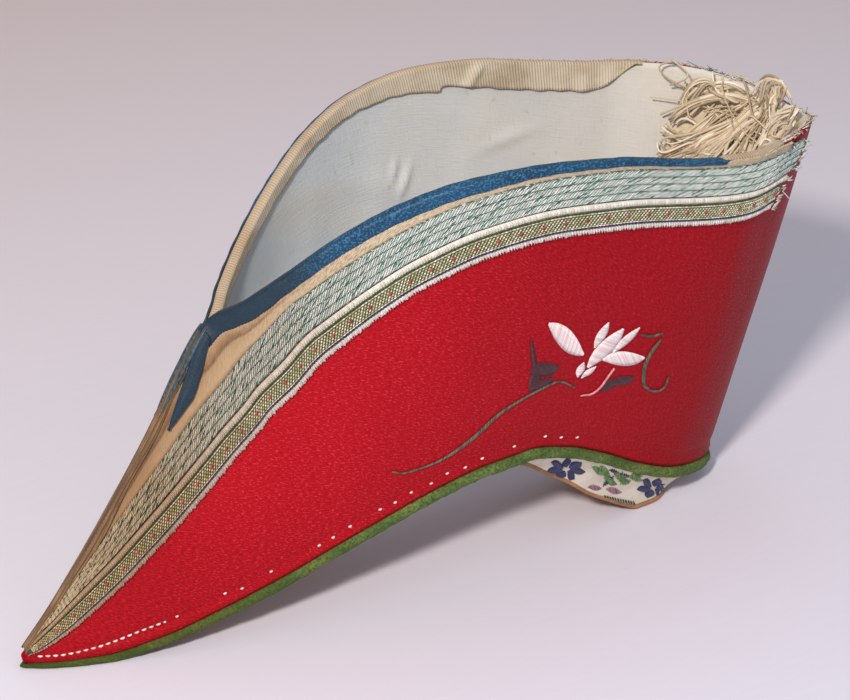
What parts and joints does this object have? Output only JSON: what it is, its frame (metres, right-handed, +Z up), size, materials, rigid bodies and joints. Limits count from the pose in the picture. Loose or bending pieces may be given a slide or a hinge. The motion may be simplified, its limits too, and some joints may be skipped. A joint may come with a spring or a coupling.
{
  "type": "lotus shoe",
  "caption": "Small embroidered red silk shoe with a pointed toe, a deep pointed collar edged with woven ribbon, an arched leather sole and a low cloth-covered heel block",
  "frame": {"origin": "on the ground under the middle of the shoe's box, where sole and heel stand", "axes": "+X to the toe, +Y to the wearer's left, +Z up"},
  "size_m": [0.1432, 0.0488, 0.0776],
  "materials": {
    "silk_satin": "woven satin, soft sheen",
    "sole_leather": "worn, matte",
    "welt_velvet": "short nap, matte",
    "insole_cotton": "plain weave, matte",
    "heel_brocade": "figured weave, matte",
    "wide_ribbon_silk": "herringbone weave, slight sheen",
    "narrow_ribbon_silk": "ribbed figured weave, slight sheen",
    "tape_cotton": "ribbed weave, matte",
    "binding_satin": "worn satin, slight sheen",
    "binding_tail_satin": "worn satin, slight sheen",
    "raw_fibre": "loose unspun fibre, matte"
  },
  "bodies": {
    "root": {"upper": "silk_satin", "sole": "sole_leather", "welt": "welt_velvet", "insole": "insole_cotton", "heel_block": "heel_brocade", "wide_ribbon_left": "wide_ribbon_silk", "wide_ribbon_right": "wide_ribbon_silk", "narrow_ribbon_left": "narrow_ribbon_silk", "narrow_ribbon_right": "narrow_ribbon_silk", "edge_tape_left": "tape_cotton", "edge_tape_right": "tape_cotton", "collar_binding": "binding_satin", "binding_tail_left": "binding_tail_satin", "binding_tail_right": "binding_tail_satin", "fibre_tuft": "raw_fibre"}
  },
  "joints": []
}
